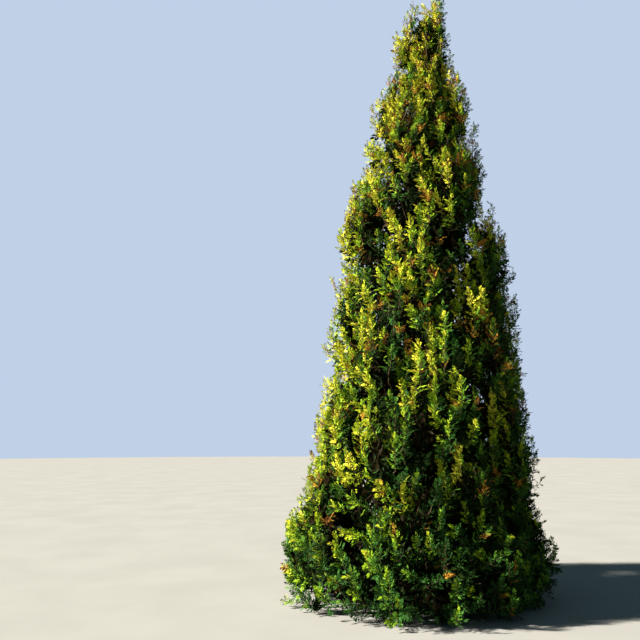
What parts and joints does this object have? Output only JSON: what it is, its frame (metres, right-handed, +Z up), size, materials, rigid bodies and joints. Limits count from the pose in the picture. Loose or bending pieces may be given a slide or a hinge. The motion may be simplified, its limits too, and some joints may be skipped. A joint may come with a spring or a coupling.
{
  "type": "arborvitae",
  "caption": "Tall conical evergreen with a slightly leaning trunk, rising boughs and dense upright plumes of flat leaf sprays that reach the ground.",
  "frame": {"origin": "middle of the flat cut under the trunk, at ground level", "axes": "+Z up, +X to the right and -Y towards the viewer in the picture; the trunk leans to +X"},
  "size_m": [3.002, 3.0016, 7.6056],
  "materials": {
    "bark": "rough, stringy bark",
    "foliage": "matte scale leaves"
  },
  "bodies": {
    "root": {"trunk": "bark", "bough_1": "bark", "bough_2": "bark", "bough_3": "bark", "bough_4": "bark", "bough_5": "bark", "bough_6": "bark", "bough_7": "bark", "bough_8": "bark", "bough_9": "bark", "bough_10": "bark", "bough_11": "bark", "bough_12": "bark", "bough_13": "bark", "bough_14": "bark", "bough_15": "bark", "bough_16": "bark", "bough_17": "bark", "bough_18": "bark", "bough_19": "bark", "bough_20": "bark", "bough_21": "bark", "bough_22": "bark", "side_leader_bough": "bark", "plume_1": "foliage", "plume_2": "foliage", "plume_3": "foliage", "plume_4": "foliage", "plume_5": "foliage", "plume_6": "foliage", "plume_7": "foliage", "plume_8": "foliage", "plume_9": "foliage", "plume_10": "foliage", "plume_11": "foliage", "plume_12": "foliage", "plume_13": "foliage", "plume_14": "foliage", "plume_15": "foliage", "plume_16": "foliage", "plume_17": "foliage", "plume_18": "foliage", "plume_19": "foliage", "plume_20": "foliage", "plume_21": "foliage", "plume_22": "foliage", "plume_23": "foliage", "plume_24": "foliage", "plume_25": "foliage", "plume_26": "foliage", "plume_27": "foliage", "plume_28": "foliage", "plume_29": "foliage", "plume_30": "foliage", "plume_31": "foliage", "plume_32": "foliage", "plume_33": "foliage", "leader_plume": "foliage", "side_leader_plume": "foliage"}
  },
  "joints": []
}
